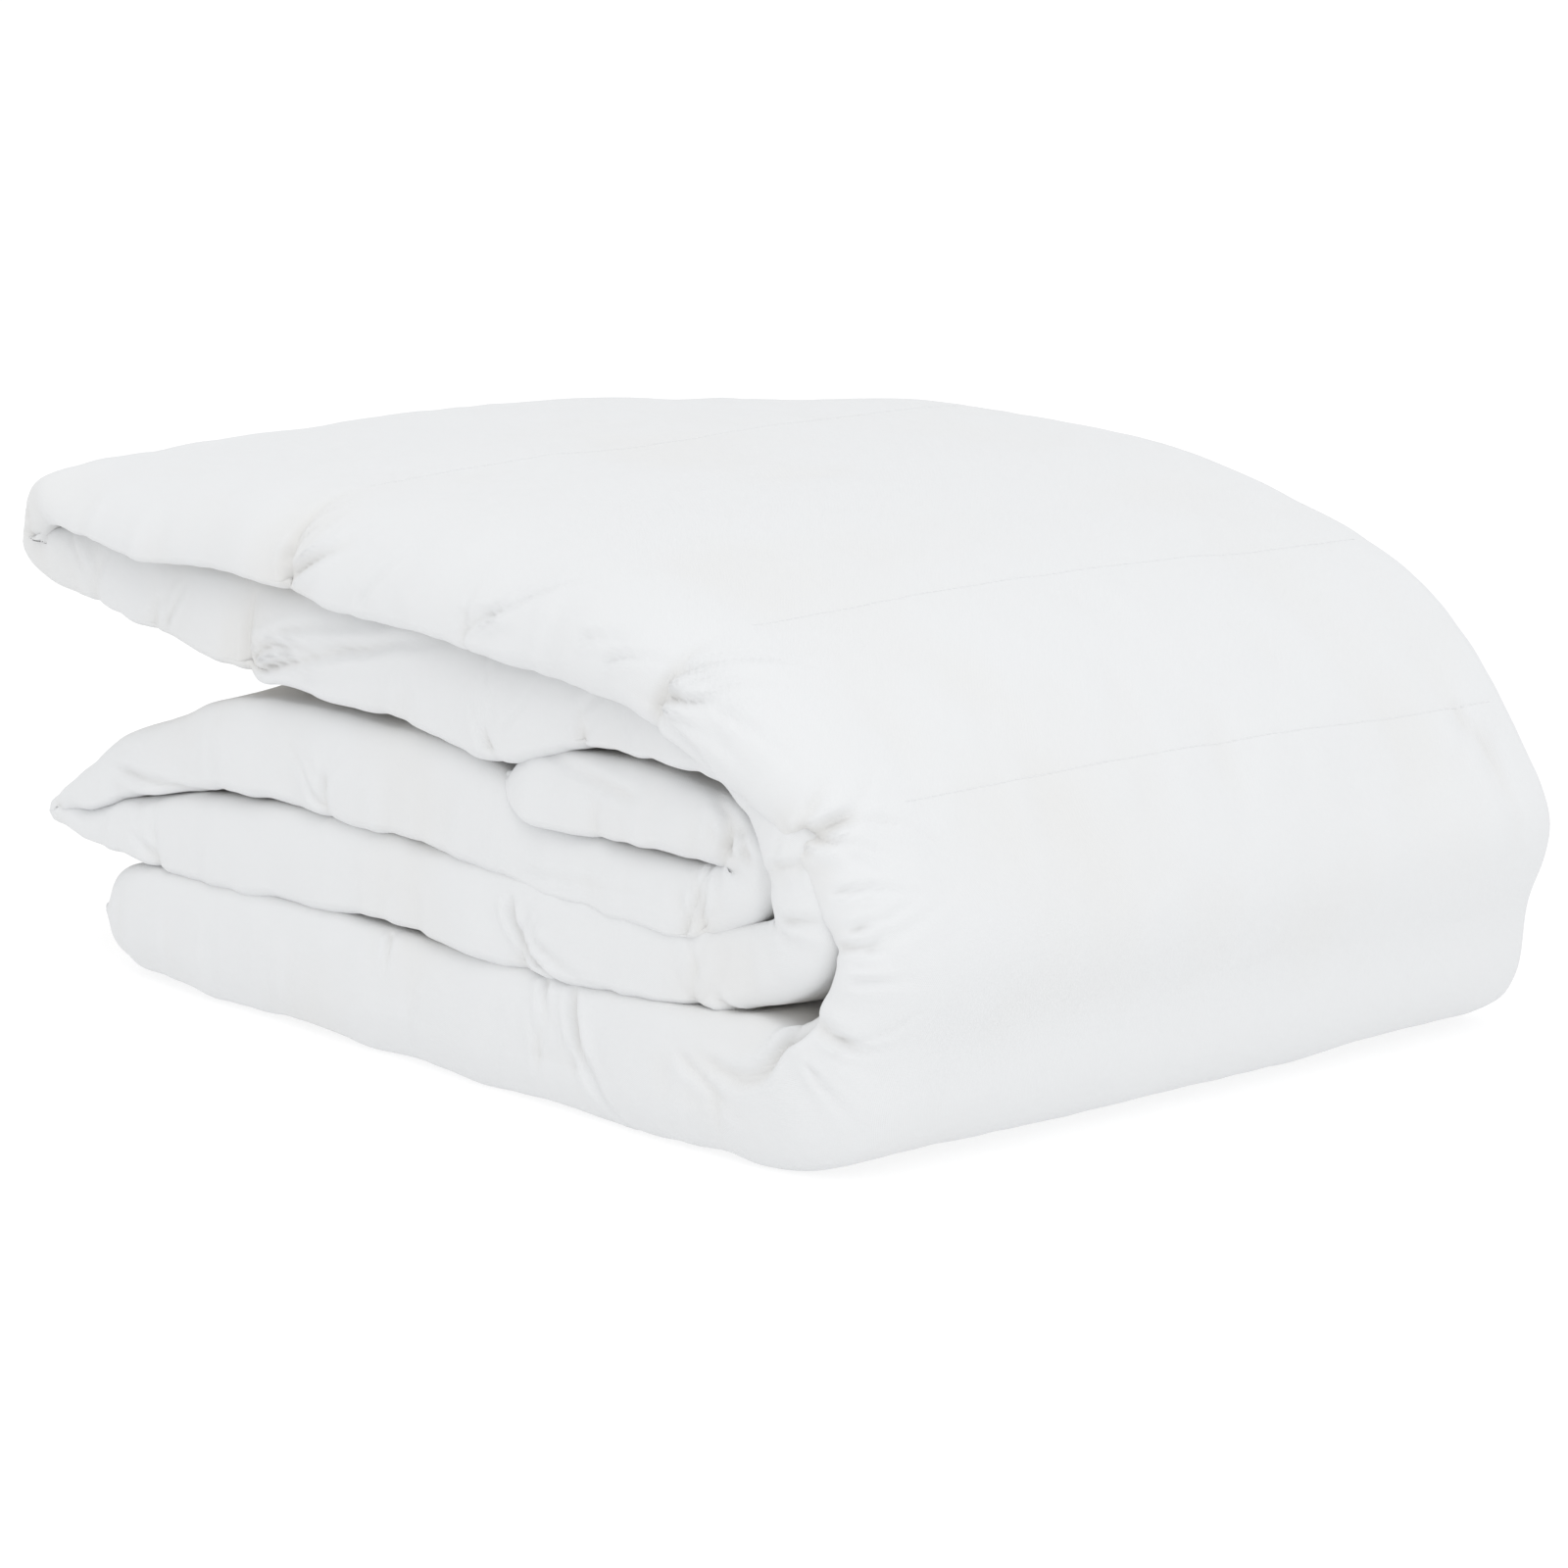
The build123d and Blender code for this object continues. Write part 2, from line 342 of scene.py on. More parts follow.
class Strip:
    """The whole cover as a grid: one row for each ring along the strip, one column round it."""

    def __init__(self, sizes):
        rows, names = [], []
        for stretch in STRIP:
            for station in stretch.stations:
                rows.append((*station, *stretch.caps, stretch.lip))
                names.append(stretch.name)
        fine = catmull_rom(np.array(rows, float), STATION_STEPS)
        steps = np.hypot(*np.diff(fine[:, :2], axis=0).T)
        length = np.concatenate([[0], np.cumsum(steps)])
        count = int(length[-1] / sizes.ring_step)
        self.s = np.linspace(0, length[-1], count)
        columns = [np.interp(self.s, length, fine[:, index]) for index in range(fine.shape[1])]
        self.x, self.z, self.half, self.inset, self.cap_out, self.cap_in, self.lip = columns
        owner = np.minimum(np.arange(len(fine)) // STATION_STEPS, len(names) - 1)
        picked = np.searchsorted(length, self.s).clip(0, len(fine) - 1)
        self.owner = np.array(names)[owner[picked]]
        self._round_ends()
        self._rings()
        self._warp()

    def _round_ends(self):
        """Thin the strip towards its two free ends."""
        for distance, length in ((self.s, FIRST_TAPER), (self.s[-1] - self.s, LAST_TAPER)):
            near = np.clip(distance / length, 0, 1)
            self.half = self.half * np.sqrt(np.clip(1 - (1 - near) ** 2, 0.01, 1))
            self.inset = self.inset + END_SETBACK * (1 - near) ** 2

    def _rings(self):
        """Lay out every ring flat: y across the pack, n out from the strip's middle, w round it."""
        half, lip = self.half[:, None], (self.lip * self.half)[:, None]
        front = (front_y + self.inset)[:, None]
        back = np.full_like(front, back_y)
        angle = np.linspace(-math.pi / 2, math.pi / 2, FRONT_POINTS)[None, :]
        outer = angle >= 0
        cap = np.where(outer, self.cap_out[:, None], self.cap_in[:, None])
        reach = np.where(outer, half - lip, half + lip)
        cap_y = front + cap * (1 - np.cos(angle).clip(0, 1) ** FULLNESS)
        cap_n = lip + reach * np.sin(angle)
        run = np.linspace(0, 1, FLAT_POINTS + 2)[1:-1][None, :] ** CROWDING
        fold_depth = 0.5 * half
        start = front + self.cap_out[:, None]
        top_y = start + (back - fold_depth - start) * run
        top_n = np.broadcast_to(half, top_y.shape)
        turn = np.linspace(math.pi / 2, -math.pi / 2, BACK_FOLD_POINTS)[None, :]
        fold_y = back - fold_depth + fold_depth * np.cos(turn)
        fold_n = half / 2 + 0.48 * half * np.sin(turn)
        hems_y = back - np.array(HEM_DEPTHS)[None, :]
        hems_n = -half * np.array(HEM_LEVELS)[None, :] / 100
        end = front + self.cap_in[:, None]
        under_y = end + (back - INNER_SETBACK - end) * run[:, ::-1]
        under_n = np.broadcast_to(-half, under_y.shape)
        self.y = np.hstack([cap_y, top_y, fold_y, hems_y, under_y])
        self.n = np.hstack([cap_n, top_n, fold_n, hems_n, under_n])
        # Mask of cloth that lies tucked out of sight, used only for the painted shade in the
        # cotton.
        open_rings = np.isin(self.owner, OPEN_STRETCHES).astype(float)
        blur = 10
        kernel = np.full(2 * blur + 1, 1 / (2 * blur + 1))
        shown = np.convolve(np.pad(open_rings, blur, mode="edge"), kernel, "valid")[:, None]
        hidden = [np.broadcast_to(1 - shown, part.shape) for part in (top_y, fold_y, hems_y)]
        inner = np.hstack([1 - outer * shown, *hidden, np.ones(under_y.shape)])
        depth = np.minimum(self.y - front, back - self.y)
        self.tucked = inner * np.clip((depth - 4) / 14, 0, 1)
        self.hem_start = FRONT_POINTS + FLAT_POINTS + BACK_FOLD_POINTS
        self.hem_end = self.hem_start + len(HEM_DEPTHS)
        step = np.hypot(np.diff(self.y, axis=1), np.diff(self.n, axis=1))
        around = np.hstack([np.zeros((len(self.s), 1)), np.cumsum(step, axis=1)])
        middle = FRONT_POINTS // 2
        around -= around[:, middle:middle + 1]
        closing = np.hypot(self.y[:, -1] - self.y[:, 0], self.n[:, -1] - self.n[:, 0])
        whole = around[:, -1] - around[:, 0] + closing
        under = self.hem_start + len(HEM_DEPTHS) // 2
        around[:, under:] -= whole[:, None]
        self.w = around
        self.columns = self.y.shape[1]
        near = np.exp(-(around / 30) ** 2)
        self.y = (self.y + 1.5 * near * self._wander(wavelength=34, seed=21)
                  + 0.6 * near * self._wander(wavelength=11, seed=22))
        self.n = (self.n + 1.6 * near * self._wander(wavelength=40, seed=23)
                  + 0.6 * near * self._wander(wavelength=13, seed=24))

    def _wander(self, wavelength, seed):
        """Smooth noise along the strip, the same all round each ring."""
        place = np.stack([self.s / wavelength, 0 * self.s, 0 * self.s], axis=-1)
        return lattice_noise(place, seed)[:, None]

    def _warp(self):
        """Stand the flat rings up along the strip's path."""
        tangent_x, tangent_z = np.gradient(self.x), np.gradient(self.z)
        size = np.hypot(tangent_x, tangent_z)
        out_x, out_z = tangent_z / size, -tangent_x / size
        px = self.x[:, None] + self.n * out_x[:, None]
        pz = self.z[:, None] + self.n * out_z[:, None]
        self.points = np.stack([px, self.y, pz], axis=-1)

    def station(self, name, x, z=None):
        """The ring of a stretch that is nearest to x, or to x and z."""
        rings = np.nonzero(self.owner == name)[0]
        away = abs(self.x[rings] - x)
        if z is not None:
            away = np.hypot(away, self.z[rings] - z)
        return rings[np.argmin(away)]

    def normals(self):
        """Outward normals of the grid, which closes on itself round each ring."""
        along = np.gradient(self.points, axis=0)
        round_it = np.roll(self.points, -1, axis=1) - np.roll(self.points, 1, axis=1)
        normal = np.cross(round_it, along)
        return normal / np.maximum(np.linalg.norm(normal, axis=-1, keepdims=True), 1e-9)


@dataclass
class Pinch:
    """A seam's end, drawn in: where, how deep, and how far to either side of the edge."""
    stretch: str
    x: float
    z: float
    depth: float
    reach_out: float
    reach_in: float
    wrinkles: int = 5
    spread: float = 34
    lean: float = 90        # middle direction of its wrinkles, in degrees from along the strip
    fan: float = 55


PINCHES = (
    Pinch("top", -65, 177, 7.0, 56, 14, 6, 46, 125, 35),
    Pinch("top", 42, 176, 2.6, 30, 14, 5, 56, 150, 14),
    Pinch("outer turn", 147, 163, 6.5, 42, 14, 6, 56, 150, 25),
    Pinch("outer turn", 207, 117, 6.5, 30, 14, 7, 40, 95, 40),
    Pinch("outer turn", 222, 82, 3.0, 30, 14, 6, 36, 90, 30),
    Pinch("outer turn", 220, 52, 3.0, 26, 14, 6, 34, 88, 22),
    Pinch("top turn", -231, 163, 3.0, 20, 14, 4, 20),
    Pinch("second", -97, 141, 6.0, 14, 40, 6, 52, -35, 30),
    Pinch("second", 48, 138, 2.6, 14, 24, 5, 30, -60, 50),
    Pinch("second", -158, 146, 2.0, 14, 22, 3, 20, -90, 60),
    Pinch("second", 92, 143, 2.8, 14, 22, 4, 24, -70, 40),
    Pinch("second", -196, 150, 2.0, 14, 22, 3, 20, -90, 60),
    Pinch("third", -50, 101, 2.6, 14, 24, 4, 30, -90, 50),
    Pinch("third", 155, 85, 4.0, 14, 22, 6, 26, -90, 60),
    Pinch("flap turn", 166, 108, 5.5, 20, 16, 6, 26, 90, 60),
    Pinch("flap", 100, 112, 1.5, 16, 16, 3, 20),
    Pinch("core turn", -221, 60, 1.5, 18, 14, 3, 22, 90, 30),
    Pinch("fourth", 65, 64, 3.0, 20, 12, 3, 24),
    Pinch("fourth", -155, 57, 2.2, 22, 16, 5, 30, 60, 50),
    Pinch("fourth", 150, 64, 2.4, 24, 16, 4, 26, 90, 60),
    Pinch("inner turn", 194, 105, 2.4, 16, 18, 4, 24, -90, 50),
    Pinch("bottom", 76, 24, 3.0, 12, 26, 2, 24, -90, 30),
    Pinch("bottom", 96, 24, 2.5, 8, 26, 2, 26, -90, 50),
    Pinch("bottom", 170, 23, 1.6, 18, 26, 3, 22, -90, 40),
)


@dataclass
class Fold:
    """One long crease: where it starts, which way it runs, and how deep and wide it is."""
    stretch: str
    x: float
    z: float
    start: float        # distance from the front edge, positive on the duvet's outer side
    angle: float
    length: float
    depth: float
    width: float
    bend: float = 0.0


FOLDS = (
    Fold("top", -65, 177, 0, 140, 58, 2.0, 2.2, 0.2),
    Fold("top", 40, 176, 2, 154, 66, 2.8, 1.8, -0.08),
    Fold("top", 36, 176, 6, 160, 40, 1.6, 1.6, 0.2),
    Fold("top", -20, 177, 0, 130, 36, 1.2, 2.0),
    Fold("outer turn", 118, 170, 3, 148, 40, 1.8, 1.6, 0.15),
    Fold("outer turn", 104, 172, 8, 156, 34, 1.5, 1.5, 0.2),
    Fold("outer turn", 147, 163, 4, 152, 62, 2.6, 2.0, 0.3),
    Fold("outer turn", 147, 163, 0, 168, 48, 1.8, 1.6, 0.1),
    Fold("outer turn", 207, 117, 2, 110, 34, 1.8, 1.5, 0.2),
    Fold("outer turn", 218, 100, 4, 95, 34, 1.7, 1.5, 0.2),
    Fold("outer turn", 222, 88, 4, 90, 32, 1.6, 1.4, -0.2),
    Fold("outer turn", 223, 72, 2, 80, 34, 1.6, 1.4, 0.2),
    Fold("outer turn", 219, 52, 2, 75, 36, 2.0, 1.6, -0.2),
    Fold("outer turn", 212, 40, 2, 95, 30, 1.4, 1.5, 0.2),
    Fold("second", -98, 145, 4, -20, 124, 4.4, 2.3, 0.05),
    Fold("second", -92, 145, -6, -16, 84, 2.6, 1.8, 0.1),
    Fold("second", -150, 146, 0, -60, 26, 1.4, 1.6),
    Fold("second", 48, 138, 2, -130, 30, 1.6, 1.6, 0.2),
    Fold("third", -50, 101, 2, -140, 34, 1.6, 1.8),
    Fold("third", 60, 92, 0, -12, 80, 1.2, 2.4, 0.1),
    Fold("flap", 150, 111, 14, 8, 88, 1.4, 2.2, 0.05),
    Fold("fourth", 58, 64, 22, -92, 40, 3.4, 2.2, -1.3),
    Fold("fourth", 70, 64, 10, -150, 40, 1.4, 1.8, -0.2),
    Fold("bottom", 92, 24, -30, 82, 60, 3.6, 2.3, -0.53),
    Fold("bottom", 76, 24, -30, 84, 20, 2.6, 1.8, -0.2),
    Fold("outer turn", 220, 52, -7, 184, 80, 5.2, 2.5, 0.05),
    Fold("third", -186, 77, -9, 17, 84, 2.6, 2.0, -0.03),
    Fold("outer turn", 208, 122, 320, 176, 66, 3.2, 3.4, 0.1),
    Fold("inner turn", 200, 88, 2, -100, 30, 2.4, 1.8, 0.2),
    Fold("fourth", 164, 64, 3, -125, 36, 1.7, 1.8, 0.3),
    Fold("third", 146, 86, 2, -70, 28, 2.2, 1.7, 0.2),
    Fold("bottom", -12, 24, -30, 80, 20, 1.8, 1.5, 0.1),
    Fold("bottom", 150, 23, -16, 30, 40, 1.4, 2.0),
)


def add_pinches(strip, push):
    """Draw in the seam ends, each with a fan of wrinkles, then press in the long creases."""
    chance = np.random.default_rng(WRINKLE_SEED)
    s, w = strip.s[:, None], strip.w
    for pinch in PINCHES:
        centre = strip.s[strip.station(pinch.stretch, pinch.x, pinch.z)]
        ds = s - centre
        reach = np.where(w >= 0, pinch.reach_out, pinch.reach_in)
        fade = np.clip(1 - abs(w) / reach, 0, 1) ** 1.3
        narrow = np.exp(-(ds / 2.4) ** 2)
        broad = np.exp(-(ds / 15) ** 2)
        push -= pinch.depth * fade * (0.62 * narrow + 0.38 * broad)
        side = math.copysign(1, pinch.lean)
        for _ in range(pinch.wrinkles):
            add_wrinkle(strip, push,
                        start=(centre + chance.normal(0, 3), side * chance.uniform(-4, 10)),
                        angle=pinch.lean + chance.uniform(-pinch.fan, pinch.fan),
                        length=pinch.spread * chance.uniform(0.6, 1.15),
                        depth=pinch.depth * chance.uniform(0.18, 0.36),
                        width=chance.uniform(1.4, 2.5), bend=chance.uniform(-0.5, 0.5))
    for fold in FOLDS:
        centre = strip.s[strip.station(fold.stretch, fold.x, fold.z)]
        add_wrinkle(strip, push, (centre, fold.start), fold.angle, fold.length, fold.depth,
                    fold.width, fold.bend)


def add_wrinkle(strip, push, start, angle, length, depth, width, bend):
    """One crease with a ridge on either side, bending gently as it runs out."""
    rings = np.nonzero(abs(strip.s - start[0]) < length * 1.3)[0]
    if not len(rings):
        return
    s, w = strip.s[rings][:, None], strip.w[rings]
    turn = math.radians(angle)
    ds, dw = s - start[0], w - start[1]
    along = (ds * math.cos(turn) + dw * math.sin(turn)) / length
    side = dw * math.cos(turn) - ds * math.sin(turn) - bend * length * along ** 2
    inside = (along > 0) & (along < 1)
    fade = np.where(inside, np.clip(along * 7, 0, 1) * (1 - along).clip(0, 1) ** 1.1, 0)
    valley = np.exp(-(side / width) ** 2)
    ridges = 0.6 * np.exp(-((side - 2 * width) / (1.3 * width)) ** 2)
    ridges = ridges + 0.4 * np.exp(-((side + 2 * width) / (1.3 * width)) ** 2)
    push[rings] += depth * fade * (ridges - valley)


def add_unevenness(strip, push, sizes):
    """Filling is never quite even, and cotton never lies quite flat."""
    calm = 1 - 0.75 * ease(strip.points[..., 1], 60, 165)
    push += sizes.puff * calm * lattice_noise(strip.points / 58, seed=11)
    push += 0.45 * sizes.puff * calm * lattice_noise(strip.points / 24, seed=12)
    push += sizes.rumple * lattice_noise(strip.points / 9, seed=13)
    level = np.zeros(strip.w.shape)
    along = strip.s[:, None] + level
    laid = np.stack([along / 38, strip.points[..., 1] / 11, level], axis=-1)
    shoulder = strip.s[strip.station("outer turn", 212)]
    tight = np.exp(-((strip.s - shoulder) / 70) ** 2)[:, None]
    push += 0.75 * tight * lattice_noise(laid, seed=14)
    edge = np.exp(-(strip.w / 20) ** 2)
    gathers = np.stack([along / 7, strip.w / 45, level], axis=-1)
    push += 0.5 * edge * lattice_noise(gathers, seed=15)


SEAMS = (("bottom", -11, 24), ("outer turn", 207, 117), ("outer turn", 147, 163), ("top", -65, 177),
         ("second", -97, 141), ("second", 92, 143), ("fourth", -155, 57), ("third", -50, 101),
         ("flap turn", 166, 108))


def square_corner(x, z):
    """Fill out the low corner of the half fold, where the pack's weight squares it."""
    centre_x, centre_z, wide, tall = 168, 50, 66, 50
    u = np.clip(x - centre_x, 0, None) / wide
    v = np.clip(centre_z - z, 0, None) / tall
    distance = np.sqrt(u ** 2 + v ** 2)
    square = (u ** 4 + v ** 4) ** 0.25
    weight = np.clip((distance - 0.35) / 0.5, 0, 1)
    stretch = (distance / np.maximum(square, 1e-6)) ** weight
    return x + (stretch - 1) * u * wide, z - (stretch - 1) * v * tall


def ease(values, start, end):
    """Smooth step from 0 at start to 1 at end."""
    t = np.clip((values - start) / (end - start), 0, 1)
    return t * t * (3 - 2 * t)


def slump_shoulder(x, y, z):
    """The pack sits lower at its back shoulder and back corner, and bulges over its far seam."""
    slump = 6 * ease(y, -60, 160) * ease(x, 30, 130) * ease(z, 70, 130)
    slump = slump + 9 * ease(y, 40, 170) * (1 - ease(x, -230, -60)) * ease(z, 120, 160)
    bulge = 3.5 * ease(y, 95, 150) * ease(x, 190, 215) * np.exp(-((z - 86) / 22) ** 2)
    return x - 0.35 * slump + bulge, z - 0.94 * slump


def shape_strip(sizes):
    """The finished grid, in millimetres."""
    strip = Strip(sizes)
    push = np.zeros(strip.y.shape)
    add_pinches(strip, push)
    add_unevenness(strip, push, sizes)
    strip.seams = [strip.station(*seam) for seam in SEAMS]
    for ring in strip.seams:
        groove = np.exp(-((strip.s - strip.s[ring]) / 2.2) ** 2)[:, None]
        push[:, FRONT_POINTS:strip.hem_end] -= sizes.seam_depth * groove
    strip.points = strip.points + push[..., None] * strip.normals()
    # Painted shade: how far each vertex turns to the crease colour, more in pushed-in creases and
    # where the cloth is tucked under.
    strip.hollow = np.clip(-push / 9, 0, 0.4) + 0.6 * strip.tucked
    x, y, z = np.moveaxis(strip.points, -1, 0)
    middle = 1 - abs(y / front_y) ** 3
    z = z * (1 + sizes.dome * middle)
    out = np.clip(x - hinge_x, 0, None)
    x = x + 0.02 * middle * out
    x, z = square_corner(x, z)
    x, z = slump_shoulder(x, y, z)
    strip.points = np.stack([x, y, np.maximum(z, 0)], axis=-1)
    return strip


# ---------------------------------------------------------------- mesh helpers

def make_mesh(name, vertices, faces, material, smooth=True):
    """A mesh object at the origin, its vertices given in metres."""
    mesh = bpy.data.meshes.new(name)
    mesh.from_pydata([tuple(v) for v in vertices], [], faces)
    mesh.materials.append(material)
    mesh.polygons.foreach_set("use_smooth", [smooth] * len(mesh.polygons))
    mesh.update()
    piece = bpy.data.objects.new(name, mesh)
    bpy.context.scene.collection.objects.link(piece)
    return piece


def sleeve_faces(rows, columns, first=0):
    """Faces of a closed sleeve whose vertices run round it, row by row, with a cap at each end."""
    faces = []
    for row in range(rows - 1):
        low, high = first + row * columns, first + (row + 1) * columns
        for column in range(columns):
            after = (column + 1) % columns
            faces.append((low + column, low + after, high + after, high + column))
    last = first + (rows - 1) * columns
    faces.append(tuple(first + column for column in reversed(range(columns))))
    faces.append(tuple(last + column for column in range(columns)))
    return faces


def store(piece, name, kind, field, values):
    """Keep a value at each vertex for the material to read."""
    attribute = piece.data.attributes.new(name, kind, "POINT")
    attribute.data.foreach_set(field, values.ravel().astype(np.float32))


def face_outwards(piece):
    """Turn every face of a closed mesh to look out."""
    bm = bmesh.new()
    bm.from_mesh(piece.data)
    bmesh.ops.recalc_face_normals(bm, faces=bm.faces)
    bm.to_mesh(piece.data)
    bm.free()


def cover_piece(name, strip, first, last, material):
    """The strip's skin between two rings, closed at both ends."""
    rows = np.arange(first, last + 1)
    columns = strip.columns
    vertices = strip.points[rows].reshape(-1, 3) * MM
    piece = make_mesh(name, vertices, sleeve_faces(len(rows), columns), material)
    normals = strip.normals()[rows].reshape(-1, 3)
    piece.data.normals_split_custom_set_from_vertices([tuple(n) for n in normals])
    s = np.repeat(strip.s[rows], columns)
    w = strip.w[rows].reshape(-1)
    store(piece, "weave", "FLOAT_VECTOR", "vector", np.stack([w, s, 0 * s], axis=-1) * MM)
    # Painted shade amount at each vertex, read by the cotton material.
    store(piece, "hollow", "FLOAT", "value", strip.hollow[rows])
    return piece


# ---------------------------------------------------------------- operators

class DUVET_OT_camera(bpy.types.Operator):
    """Place the camera in front of the fold, a little above it"""
    bl_idname = "duvet.camera"
    bl_label = "Camera"

    def execute(self, context):
        turn, lift, distance = math.radians(48.5), math.radians(12.5), 2.32
        target = Vector((0.014, 0, 0.081))
        toward = Vector((-math.sin(turn) * math.cos(lift), math.cos(turn) * math.cos(lift),
                         -math.sin(lift)))
        data = bpy.data.cameras.new("camera")
        data.angle = math.radians(14.4)
        camera = bpy.data.objects.new("camera", data)
        camera.location = target - toward * distance
        camera.rotation_euler = toward.to_track_quat("-Z", "Y").to_euler()
        context.scene.collection.objects.link(camera)
        context.scene.camera = camera
        return {"FINISHED"}


class DUVET_OT_stage(bpy.types.Operator):
    """Lay a pale floor and hang soft lights"""
    bl_idname = "duvet.stage"
    bl_label = "Stage"

    def execute(self, context):
        colours = context.scene.duvet_colours
        shader = Shader("pale_floor")
        surface = shader.node("ShaderNodeBsdfPrincipled", {}, {
            "Base Color": rgba(colours.floor), "Roughness": 0.9, "Specular IOR Level": 0.1,
            "Emission Color": (1, 1, 1, 1), "Emission Strength": 0.64})
        reach = 6.0
        corners = [(-reach, -reach, 0), (reach, -reach, 0), (reach, reach, 0), (-reach, reach, 0)]
        floor = make_mesh("floor", corners, [(0, 1, 2, 3)], shader.finish(surface), smooth=False)
        context.scene.view_settings.view_transform = "Standard"
        world = bpy.data.worlds.new("studio")
        context.scene.world = world
        world.use_nodes = True
        background = world.node_tree.nodes["Background"]
        background.inputs["Color"].default_value = (1.0, 1.0, 1.0, 1)
        background.inputs["Strength"].default_value = 1.0
        for name, place, aim, width, power in (
                ("key", (0.6, -0.9, 2.9), (0, 0, 0.1), 2.2, 13),
                ("fill", (2.6, -1.0, 1.3), (0, 0, 0.1), 2.4, 9)):
            data = bpy.data.lights.new(name, "AREA")
            data.size = width
            data.energy = power
            light = bpy.data.objects.new(name, data)
            light.location = place
            toward = Vector(aim) - Vector(place)
            light.rotation_euler = toward.to_track_quat("-Z", "Y").to_euler()
            context.scene.collection.objects.link(light)
        return {"FINISHED"}


def attach(piece, stretch):
    """Let a piece ride on its half of the pack, or else bake its transform into its mesh."""
    if stretch in BODIES:
        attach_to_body(piece, BODIES[stretch])
    else:
        hinge_x * MM
        hinge_x * MM
        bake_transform(piece)


class DUVET_OT_cover(bpy.types.Operator):
    """Make the quilted cover, cut where the pack opens"""
    bl_idname = "duvet.cover"
    bl_label = "Cover"

    def execute(self, context):
        strip = shape_strip(context.scene.duvet_sizes)
        build["strip"] = strip
        colours = context.scene.duvet_colours
        cloth = cotton("cotton_cambric", colours.cloth, colours.crease_shade, 0.0007, 0.6)
        cuts = [0, strip.station("bottom", hinge_x), strip.station("outer turn", hinge_x),
                strip.station("second", hinge_x), strip.station("fourth", hinge_x),
                len(strip.s) - 1]
        build["spans"] = dict(zip(STRETCHES, zip(cuts, cuts[1:])))
        for stretch, (first, last) in build["spans"].items():
            piece = cover_piece(f"cover_{stretch}", strip, first, last, cloth)
            nodes = [f"{layer}_{stretch}" for layer in LAYERS]
            nodes += [name for name in frame["nodes"] if name.startswith(f"fill_{stretch}")]
            nodes += [name for name in frame["nodes"] if name == f"cross_baffles_{stretch}"]
            attach(piece, stretch)
            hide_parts(*nodes)
        return {"FINISHED"}


def tube(path, radius, sides, first=0):
    """Vertices, faces and weave places of a round tube along a path, closed at both ends."""
    along = np.gradient(path, axis=0)
    along /= np.linalg.norm(along, axis=1, keepdims=True)
    crosswise = np.ptp(path[:, 1]) > np.ptp(path[:, 0])
    side = np.cross(along, (1, 0, 0) if crosswise else (0, 1, 0))
    side /= np.linalg.norm(side, axis=1, keepdims=True)
    up = np.cross(side, along)
    angle = np.linspace(0, 2 * math.pi, sides, endpoint=False)
    across, upward = np.cos(angle)[None, :, None], np.sin(angle)[None, :, None]
    around = radius * (across * side[:, None] + upward * up[:, None])
    vertices = (path[:, None] + around).reshape(-1, 3)
    distance = np.concatenate([[0], np.cumsum(np.linalg.norm(np.diff(path, axis=0), axis=1))])
    weave = np.zeros((len(path), sides, 3))
    weave[..., 0] = radius * angle[None, :]
    weave[..., 1] = distance[:, None]
    return vertices, sleeve_faces(len(path), sides, first), weave.reshape(-1, 3)


def tube_piece(name, paths, radius, material, sides=12):
    """One mesh of several tubes, with the weave attribute that the cotton material reads. In mm."""
    vertices, faces, weaves = [], [], []
    for path in paths:
        made = tube(path, radius, sides, sum(len(part) for part in vertices))
        vertices.append(made[0])
        faces += made[1]
        weaves.append(made[2])
    piece = make_mesh(name, np.vstack(vertices) * MM, faces, material)
    store(piece, "weave", "FLOAT_VECTOR", "vector", np.vstack(weaves) * MM)
    face_outwards(piece)
    return piece


class DUVET_OT_hems(bpy.types.Operator):
    """Pipe the two long sides at the back and roll a hem across each end"""
    bl_idname = "duvet.hems"
    bl_label = "Piped hems"

    def execute(self, context):
        strip, sizes = build["strip"], context.scene.duvet_sizes
        colours = context.scene.duvet_colours
        cloth = cotton("piped_cotton", colours.cloth, colours.crease_shade, 0.0006, 0.8)
        radius = sizes.piping_radius
        for stretch, (first, last) in build["spans"].items():
            paths = []
            for crest in HEM_CRESTS:
                path = strip.points[first:last + 1, strip.hem_start + crest].copy()
                path[:, 1] += radius - PIPING_SEAT
                paths.append(path)
            piece = tube_piece(f"hem_piping_{stretch}", paths, radius, cloth)
            attach(piece, stretch)
            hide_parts(f"piping_{stretch}")
        for stretch, ring in (("bottom", 0), ("core", len(strip.s) - 1)):
            top = strip.points[ring, FRONT_POINTS:FRONT_POINTS + FLAT_POINTS]
            under = strip.points[ring, strip.hem_end:][::-1]
            path = (top + under) / 2
            ends = path[[0, -1]].copy()
            ends[:, 1] = strip.points[ring, FRONT_POINTS // 2, 1] + radius, back_y - radius
            path = np.vstack([ends[:1], path, ends[1:]])
            piece = tube_piece(f"end_hem_roll_{stretch}", [path], END_ROLL * radius, cloth)
            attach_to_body(piece, BODIES[stretch])
            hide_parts(f"end_hem_{stretch}")
        return {"FINISHED"}


